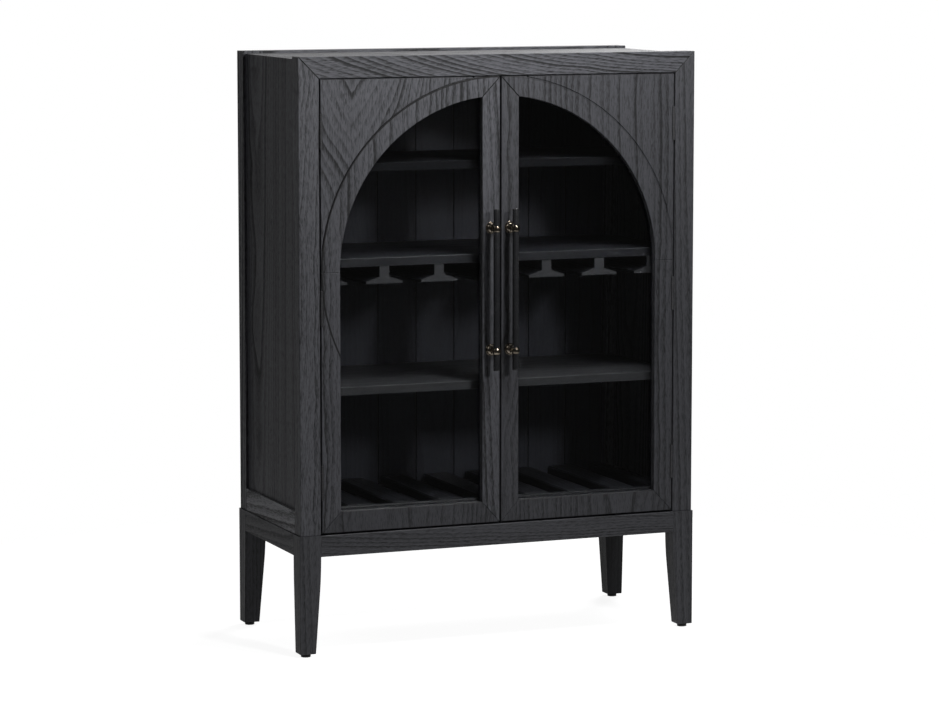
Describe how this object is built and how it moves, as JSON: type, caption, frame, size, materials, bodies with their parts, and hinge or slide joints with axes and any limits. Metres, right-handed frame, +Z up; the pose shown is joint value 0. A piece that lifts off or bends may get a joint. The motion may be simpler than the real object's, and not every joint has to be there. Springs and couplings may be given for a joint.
{
  "type": "bar cabinet",
  "caption": "Black oak bar cabinet with glazed doors under a shared round arch, bar handles, shelves, stemware rails and a slatted bottle rack on a tapered-leg base.",
  "frame": {"origin": "on the floor, under the centre of the whole object's box, handles included", "axes": "+Z up, front towards -Y, +X to the right as seen from the front"},
  "size_m": [1.006, 0.489, 1.394],
  "materials": {
    "black_oak": "open-grained charcoal-black stain, satin",
    "charcoal_interior": "smooth charcoal lacquer, satin",
    "clear_glass": "clear polished",
    "antique_brass": "antiqued, polished on the high spots",
    "black_metal": "black, semi-gloss",
    "black_plastic": "moulded, matt",
    "plated_steel": "plated"
  },
  "bodies": {
    "cabinet": {"apron_front": "black_oak", "apron_left": "black_oak", "apron_rear": "black_oak", "apron_right": "black_oak", "back_panel": "charcoal_interior", "bottle_slats": "charcoal_interior", "corner_braces": "charcoal_interior", "floor_panel": "charcoal_interior", "front_stile_left": "black_oak", "front_stile_right": "black_oak", "front_top_rail": "black_oak", "hinge_frame_leaves": "black_metal", "hinge_pins": "black_metal", "leg_front_left": "black_oak", "leg_front_right": "black_oak", "leg_rear_left": "black_oak", "leg_rear_right": "black_oak", "magnetic_catches": "black_plastic", "rack_rails": "charcoal_interior", "rear_bottom_rail": "black_oak", "rear_post_left": "black_oak", "rear_post_right": "black_oak", "rear_top_rail": "black_oak", "shelf_lower": "charcoal_interior", "shelf_pins": "plated_steel", "shelf_stemware": "charcoal_interior", "shelf_upper": "charcoal_interior", "side_panel_left": "black_oak", "side_panel_right": "black_oak", "side_rail_left": "black_oak", "side_rail_right": "black_oak", "stem_battens": "charcoal_interior", "stem_flanges": "charcoal_interior", "top_panel": "black_oak"},
    "left_door": {"door_left_arch_band": "black_oak", "door_left_bottom_rail": "black_oak", "door_left_glass": "clear_glass", "door_left_glass_stops": "black_oak", "door_left_hinge_stile": "black_oak", "door_left_meeting_stile": "black_oak", "door_left_spandrel": "black_oak", "handle_left_bar": "black_metal", "handle_left_posts": "antique_brass", "hinge_left_door_leaves": "black_metal", "strike_plate_left": "plated_steel"},
    "right_door": {"door_right_arch_band": "black_oak", "door_right_bottom_rail": "black_oak", "door_right_glass": "clear_glass", "door_right_glass_stops": "black_oak", "door_right_hinge_stile": "black_oak", "door_right_meeting_stile": "black_oak", "door_right_spandrel": "black_oak", "handle_right_bar": "black_metal", "handle_right_posts": "antique_brass", "hinge_right_door_leaves": "black_metal", "strike_plate_right": "plated_steel"},
    "front_left_glide": {"glide_front_left": "black_plastic"},
    "front_right_glide": {"glide_front_right": "black_plastic"},
    "rear_left_glide": {"glide_rear_left": "black_plastic"},
    "rear_right_glide": {"glide_rear_right": "black_plastic"}
  },
  "joints": [
    {"name": "left_door_swing", "type": "hinge", "parent": "cabinet", "child": "left_door", "pos_m": [-0.446, -0.2005, 0.816], "axis": [0, 0, -1], "range_deg": [0, 170]},
    {"name": "right_door_swing", "type": "hinge", "parent": "cabinet", "child": "right_door", "pos_m": [0.446, -0.2005, 0.816], "axis": [0, 0, 1], "range_deg": [0, 170]},
    {"name": "front_left_glide_turn", "type": "hinge", "parent": "cabinet", "child": "front_left_glide", "pos_m": [-0.484, -0.1855, 0.012], "axis": [0, 0, 1], "continuous": true},
    {"name": "front_right_glide_turn", "type": "hinge", "parent": "cabinet", "child": "front_right_glide", "pos_m": [0.484, -0.1855, 0.012], "axis": [0, 0, 1], "continuous": true},
    {"name": "rear_left_glide_turn", "type": "hinge", "parent": "cabinet", "child": "rear_left_glide", "pos_m": [-0.484, 0.2265, 0.012], "axis": [0, 0, 1], "continuous": true},
    {"name": "rear_right_glide_turn", "type": "hinge", "parent": "cabinet", "child": "rear_right_glide", "pos_m": [0.484, 0.2265, 0.012], "axis": [0, 0, 1], "continuous": true}
  ]
}
